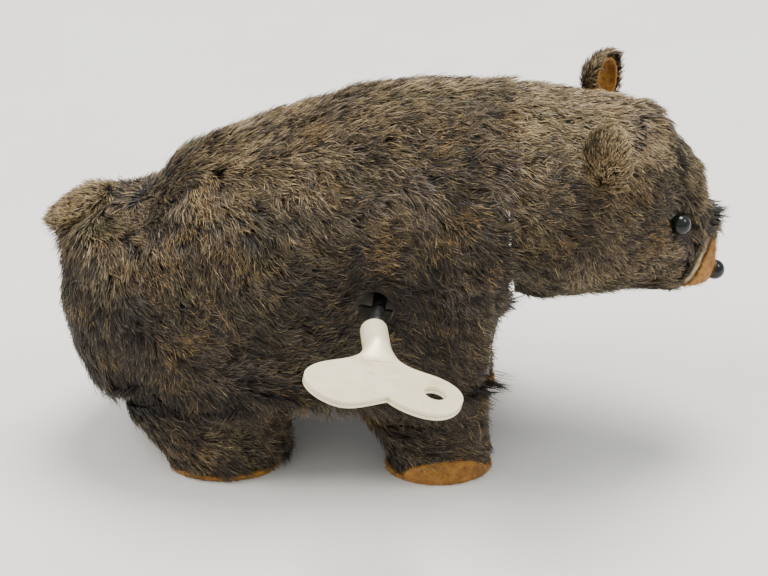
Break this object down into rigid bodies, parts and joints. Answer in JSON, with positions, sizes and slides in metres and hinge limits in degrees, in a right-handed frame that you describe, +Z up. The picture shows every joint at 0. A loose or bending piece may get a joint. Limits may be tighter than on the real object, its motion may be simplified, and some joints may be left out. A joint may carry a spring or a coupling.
{
  "type": "clockwork walking bear",
  "caption": "Fur-covered clockwork walking bear on swinging legs, with a nodding head, felt muzzle and paws, and a folded winding key in its side.",
  "frame": {"origin": "on the floor, under the middle of the right front foot's sole", "axes": "+X towards the nose, +Y towards the bear's left, +Z up"},
  "size_m": [0.1624, 0.1064, 0.0922],
  "materials": {
    "body_fur": "short pile, brown with tan tips",
    "head_fur": "short pile, warmer brown",
    "leg_fur": "short pile, darker",
    "light_fur": "short pile, lighter tan",
    "felt": "matt felt",
    "eye_glass": "glossy dark glass",
    "nose_glass": "glossy bead",
    "key_plate": "satin nickel plate",
    "tin_plate": "dull tinned steel",
    "steel_rod": "drawn steel",
    "spring_steel": "blued spring steel",
    "brass_wheels": "stamped brass"
  },
  "bodies": {
    "body": {"body_fur": "body_fur", "left_body_shell": "tin_plate", "right_body_shell": "tin_plate", "tail_flap": "light_fur", "front_hip_axle": "steel_rod", "rear_hip_axle": "steel_rod", "axle_collars": "steel_rod", "left_motor_plate": "tin_plate", "right_motor_plate": "tin_plate", "plate_pillars": "steel_rod", "motor_straps": "tin_plate", "mainspring": "spring_steel", "neck_pin": "steel_rod", "neck_lugs": "tin_plate"},
    "head": {"head_fur": "head_fur", "left_head_shell": "tin_plate", "right_head_shell": "tin_plate", "muzzle_felt": "felt", "mouth_edge_felt": "felt", "nose_bead": "nose_glass", "left_eye": "eye_glass", "right_eye": "eye_glass", "left_ear": "light_fur", "right_ear": "light_fur", "left_ear_lining": "felt", "right_ear_lining": "felt", "head_bracket": "tin_plate", "nod_lever": "tin_plate"},
    "winder": {"winding_key": "key_plate", "winding_arbor": "steel_rod", "ratchet_wheel": "brass_wheels"},
    "main_wheel": {"main_gear": "brass_wheels", "click_spring": "spring_steel"},
    "click": {"click": "spring_steel"},
    "crankshaft": {"crank_axle": "steel_rod", "crank_pinion": "brass_wheels", "crank_gear": "brass_wheels", "nod_cam": "brass_wheels", "left_crank": "tin_plate", "right_crank": "tin_plate"},
    "governor": {"escape_arbor": "steel_rod", "escape_wheel": "brass_wheels"},
    "pallet": {"pallet": "brass_wheels", "pallet_arbor": "steel_rod"},
    "front_left_leg": {"front_left_leg_fur": "leg_fur", "front_left_leg_cup": "tin_plate", "front_left_sole": "felt", "front_left_leg_lever": "tin_plate"},
    "front_right_leg": {"front_right_leg_fur": "leg_fur", "front_right_leg_cup": "tin_plate", "front_right_sole": "felt", "front_right_leg_lever": "tin_plate"},
    "rear_left_leg": {"rear_left_leg_fur": "leg_fur", "rear_left_leg_cup": "tin_plate", "rear_left_sole": "felt", "rear_left_leg_lever": "tin_plate"},
    "rear_right_leg": {"rear_right_leg_fur": "leg_fur", "rear_right_leg_cup": "tin_plate", "rear_right_sole": "felt", "rear_right_leg_lever": "tin_plate"}
  },
  "joints": [
    {"name": "head_nod", "type": "hinge", "parent": "body", "child": "head", "pos_m": [0.0143, 0.0195, 0.08], "axis": [0, 1, 0], "range_deg": [-6, 2]},
    {"name": "front_left_leg_swing", "type": "hinge", "parent": "body", "child": "front_left_leg", "pos_m": [-0.0024, 0.0195, 0.037], "axis": [0, 1, 0], "range_deg": [-8, 8]},
    {"name": "front_right_leg_swing", "type": "hinge", "parent": "body", "child": "front_right_leg", "pos_m": [-0.0024, 0.0195, 0.037], "axis": [0, 1, 0], "range_deg": [-8, 8]},
    {"name": "rear_left_leg_swing", "type": "hinge", "parent": "body", "child": "rear_left_leg", "pos_m": [-0.0565, 0.0195, 0.037], "axis": [0, 1, 0], "range_deg": [-8, 8]},
    {"name": "rear_right_leg_swing", "type": "hinge", "parent": "body", "child": "rear_right_leg", "pos_m": [-0.0565, 0.0195, 0.037], "axis": [0, 1, 0], "range_deg": [-8, 8]},
    {"name": "key_turn", "type": "hinge", "parent": "body", "child": "winder", "pos_m": [-0.0122, 0.0195, 0.0504], "axis": [0, 1, 0], "continuous": true},
    {"name": "main_wheel_turn", "type": "hinge", "parent": "body", "child": "main_wheel", "pos_m": [-0.0122, 0.0195, 0.0504], "axis": [0, 1, 0], "continuous": true},
    {"name": "click_lift", "type": "hinge", "parent": "main_wheel", "child": "click", "pos_m": [-0.0028, 0.0195, 0.0484], "axis": [0, 1, 0], "range_deg": [0, 14], "stiffness_Nm_per_rad": 0.0005},
    {"name": "crankshaft_turn", "type": "hinge", "parent": "body", "child": "crankshaft", "pos_m": [-0.02828, 0.0195, 0.0435], "axis": [0, 1, 0], "continuous": true},
    {"name": "governor_turn", "type": "hinge", "parent": "body", "child": "governor", "pos_m": [-0.03802, 0.0195, 0.04913], "axis": [0, 1, 0], "continuous": true},
    {"name": "pallet_rock", "type": "hinge", "parent": "body", "child": "pallet", "pos_m": [-0.04648, 0.0195, 0.0516], "axis": [0, 1, 0], "range_deg": [-4, 4]}
  ],
  "couplings": [
    {"joint": "front_left_leg_swing", "follows": "front_right_leg_swing", "ratio": -1},
    {"joint": "rear_right_leg_swing", "follows": "front_right_leg_swing", "ratio": -1},
    {"joint": "rear_left_leg_swing", "follows": "front_right_leg_swing", "ratio": 1},
    {"joint": "crankshaft_turn", "follows": "main_wheel_turn", "ratio": -4},
    {"joint": "governor_turn", "follows": "main_wheel_turn", "ratio": 16}
  ]
}
